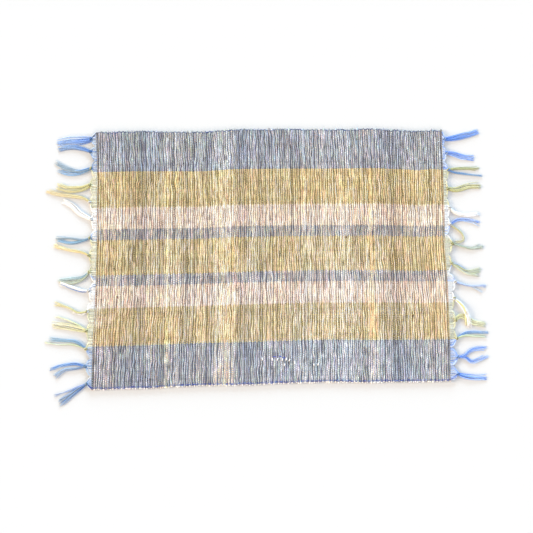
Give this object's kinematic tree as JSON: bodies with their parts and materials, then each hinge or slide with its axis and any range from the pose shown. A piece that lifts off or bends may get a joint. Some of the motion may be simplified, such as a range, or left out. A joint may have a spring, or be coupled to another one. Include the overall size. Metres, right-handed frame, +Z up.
{
  "type": "woven vetiver placemat",
  "caption": "Flat rectangular table mat handwoven from vetiver root bundles on a striped cotton warp, with the warp ends knotted into loose tassels along both short ends.",
  "frame": {"origin": "under the centre of the woven field, on the surface that the mat lies on", "axes": "+X along the cotton warp, the mat's long way; +Y along the root bundles; +Z up, out of the face that plates stand on"},
  "size_m": [0.5716, 0.3556, 0.003],
  "materials": {
    "root_weave": "matte straw-coloured vetiver root bundles, bound by cotton",
    "cotton_yarn": "matte soft cotton yarn in cornflower blue, pale yellow and off-white"
  },
  "bodies": {
    "root": {"woven_field": "root_weave", "fringe_left": "cotton_yarn", "fringe_right": "cotton_yarn"}
  },
  "joints": []
}
